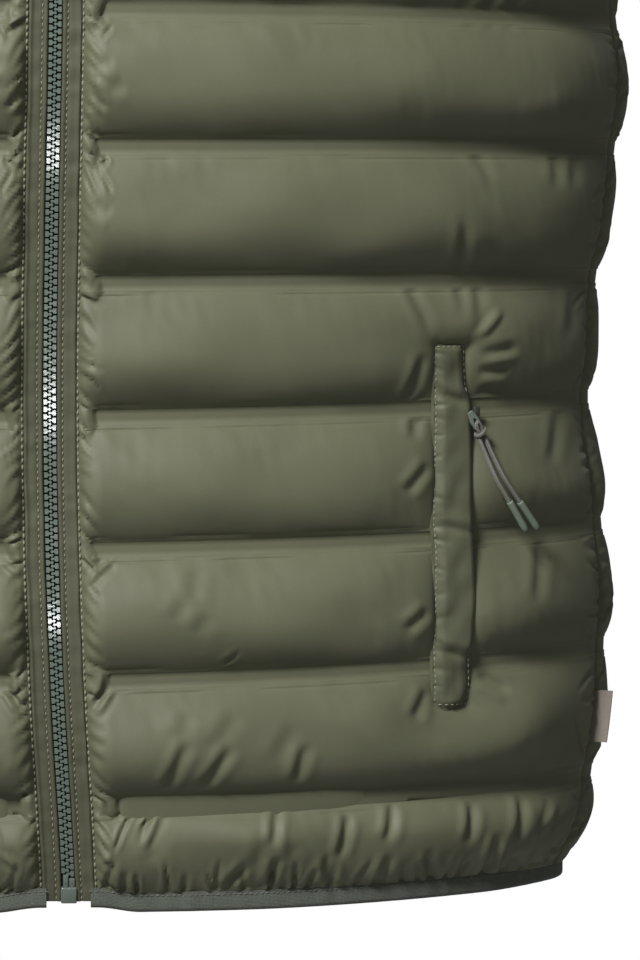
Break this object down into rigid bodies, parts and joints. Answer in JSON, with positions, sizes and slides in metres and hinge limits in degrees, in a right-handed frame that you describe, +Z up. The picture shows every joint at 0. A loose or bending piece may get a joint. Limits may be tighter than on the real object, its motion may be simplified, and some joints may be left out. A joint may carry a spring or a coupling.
{
  "type": "sleeveless quilted jacket",
  "caption": "Hollow sleeveless jacket with padded level channels, closed front zip, stand collar, bound hem and armholes, and welt pockets with cord pulls.",
  "frame": {"origin": "between the neck ends of the two shoulder seams, where the wearer's shoulders carry the jacket", "axes": "+Z up, -Y the front of the jacket, +X the wearer's left"},
  "size_m": [0.508, 0.2647, 0.7391],
  "materials": {
    "quilted_nylon": "satin olive nylon, padded",
    "placket_nylon": "satin olive nylon, folded",
    "elastic_binding": "matt elastic tape",
    "zip_plastic": "moulded grey-green plastic",
    "pull_plastic": "soft grey-green plastic",
    "braided_cord": "braided cord",
    "label_tape": "woven beige tape, blank"
  },
  "bodies": {
    "garment": {"front_left": "quilted_nylon", "front_right": "quilted_nylon", "back": "quilted_nylon", "collar": "quilted_nylon", "hem_binding": "elastic_binding", "armhole_binding_left": "elastic_binding", "armhole_binding_right": "elastic_binding", "zip_placket_left": "placket_nylon", "zip_placket_right": "placket_nylon", "zip_chain": "zip_plastic", "zip_bottom_box": "zip_plastic", "zip_slider": "zip_plastic", "pocket_left_welt": "quilted_nylon", "pocket_right_welt": "quilted_nylon", "pocket_left_zip_slider": "pull_plastic", "pocket_right_zip_slider": "pull_plastic", "side_label": "label_tape"},
    "zip_pull": {"zip_pull_tab": "zip_plastic"},
    "pocket_pull_left": {"pocket_left_pull_tab": "pull_plastic", "pocket_left_pull_knot": "braided_cord", "pocket_left_pull_cord_a": "braided_cord", "pocket_left_pull_cord_b": "braided_cord", "pocket_left_pull_tip_a": "pull_plastic", "pocket_left_pull_tip_b": "pull_plastic"},
    "pocket_pull_right": {"pocket_right_pull_tab": "pull_plastic", "pocket_right_pull_knot": "braided_cord", "pocket_right_pull_cord_a": "braided_cord", "pocket_right_pull_cord_b": "braided_cord", "pocket_right_pull_tip_a": "pull_plastic", "pocket_right_pull_tip_b": "pull_plastic"}
  },
  "joints": [
    {"name": "zip_pull_swing", "type": "hinge", "parent": "garment", "child": "zip_pull", "pos_m": [0, -0.10119, -0.00393], "axis": [-1, 0, 0], "range_deg": [0, 150]},
    {"name": "pocket_pull_left_swing", "type": "hinge", "parent": "garment", "child": "pocket_pull_left", "pos_m": [0.17857, -0.06182, -0.46998], "axis": [-0.7429, -0.4125, -0.5272], "range_deg": [0, 70]},
    {"name": "pocket_pull_right_swing", "type": "hinge", "parent": "garment", "child": "pocket_pull_right", "pos_m": [-0.17857, -0.06182, -0.46998], "axis": [-0.7429, 0.4125, 0.5272], "range_deg": [0, 70]}
  ]
}
